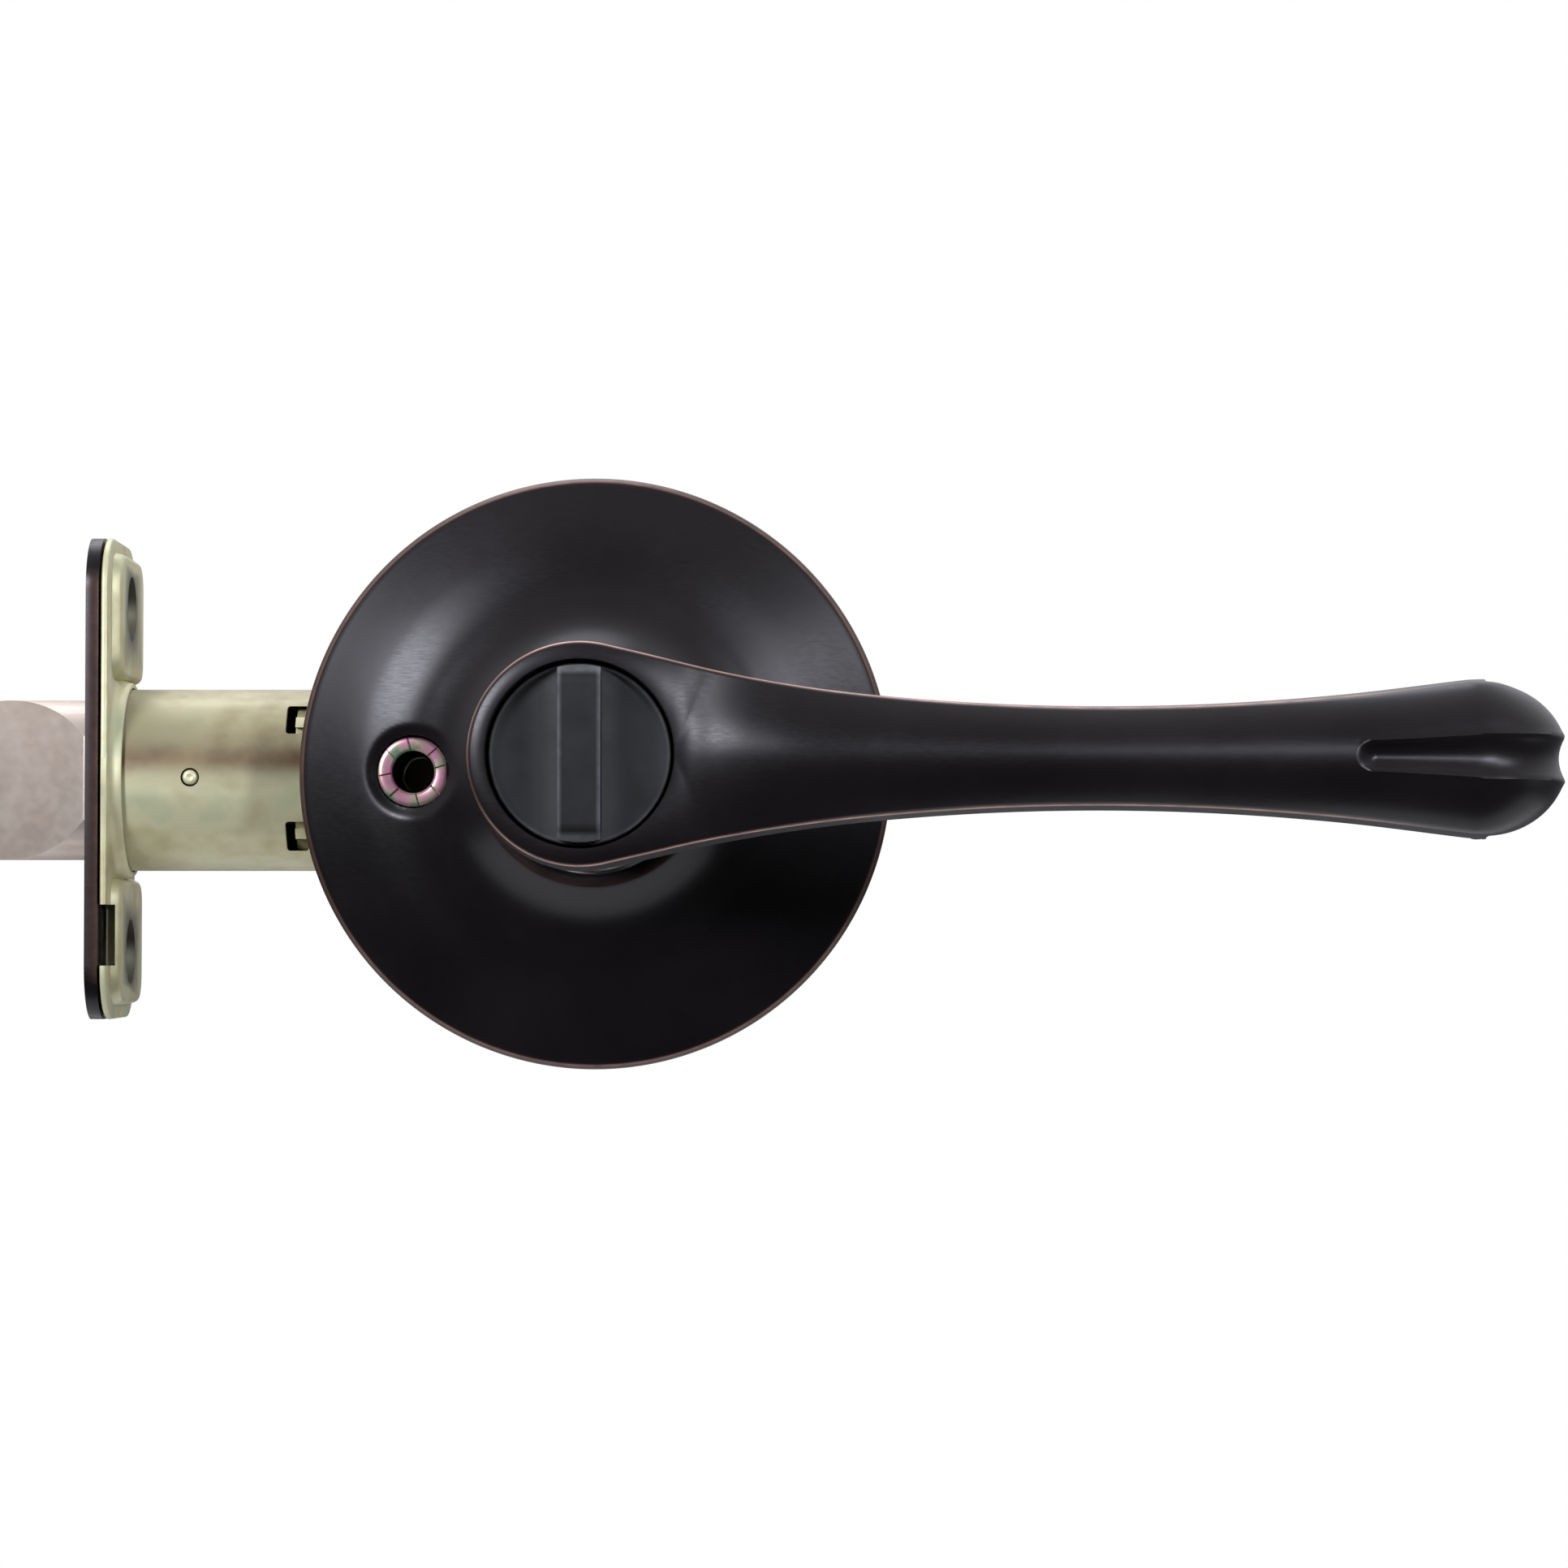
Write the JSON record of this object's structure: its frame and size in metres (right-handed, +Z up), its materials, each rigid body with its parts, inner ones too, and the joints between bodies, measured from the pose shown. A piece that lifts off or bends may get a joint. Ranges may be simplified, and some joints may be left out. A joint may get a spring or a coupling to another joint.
{
  "type": "door lever handle",
  "caption": "Privacy door lever: domed round rose, curved lever with a fluted scrolled tip, thumb turn in its hub, and a tubular spring latch with a bevelled bolt.",
  "frame": {"origin": "where the lever's turning axis meets the inner face of the door", "axes": "+Y along the lever's turning axis, into the door; +X towards the tip of the lever; +Z up"},
  "size_m": [0.1763, 0.107, 0.068],
  "materials": {
    "dark_bronze": "satin near-black bronze with copper worn edges",
    "turn_metal": "matte dark grey with paler edges",
    "zinc_chromate": "yellow-green zinc dichromate",
    "bolt_metal": "satin sintered nickel",
    "pink_chromate": "iridescent pink and green chromate",
    "steel": "plain zinc-plated steel",
    "spring_steel": "drawn spring wire and strip",
    "nylon": "natural nylon"
  },
  "bodies": {
    "mount": {"rose": "dark_bronze", "rose_bushing": "nylon", "mounting_plate": "zinc_chromate", "spring_cage": "steel", "return_spring": "spring_steel", "screw_post_left": "pink_chromate", "screw_post_right": "pink_chromate", "faceplate": "dark_bronze", "backing_plate": "zinc_chromate", "latch_tube": "zinc_chromate", "tube_pin": "zinc_chromate", "spring_seat": "zinc_chromate", "bolt_spring": "spring_steel", "latch_case_front": "zinc_chromate", "latch_case_back": "zinc_chromate", "case_rivet_upper": "steel", "case_rivet_lower": "steel"},
    "lever": {"lever": "dark_bronze", "spindle": "steel", "spring_driver": "steel", "wave_washer": "spring_steel", "circlip": "spring_steel", "cam_hub": "steel", "lock_pawl": "steel"},
    "thumb_turn": {"turn_button": "turn_metal", "lock_rod": "steel", "rod_clip": "spring_steel"},
    "latch_bolt": {"latch_bolt": "bolt_metal", "draw_bar": "zinc_chromate", "cross_pin": "steel"}
  },
  "joints": [
    {"name": "lever_turn", "type": "hinge", "parent": "mount", "child": "lever", "pos_m": [0, 0, 0], "axis": [0, 1, 0], "range_deg": [0, 60], "stiffness_Nm_per_rad": 0.5, "springref_deg": -34.38, "deforming": ["return_spring"]},
    {"name": "thumb_turn_turn", "type": "hinge", "parent": "lever", "child": "thumb_turn", "pos_m": [0, -0.058, 0], "axis": [0, 1, 0], "range_deg": [0, 90]},
    {"name": "latch_bolt_slide", "type": "slide", "parent": "mount", "child": "latch_bolt", "axis": [1, 0, 0], "range_m": [0, 0.012], "stiffness_N_per_m": 120, "springref_m": -0.02, "deforming": ["bolt_spring"]}
  ],
  "couplings": [
    {"joint": "latch_bolt_slide", "follows": "lever_turn", "m_per_rad": 0.01127}
  ]
}
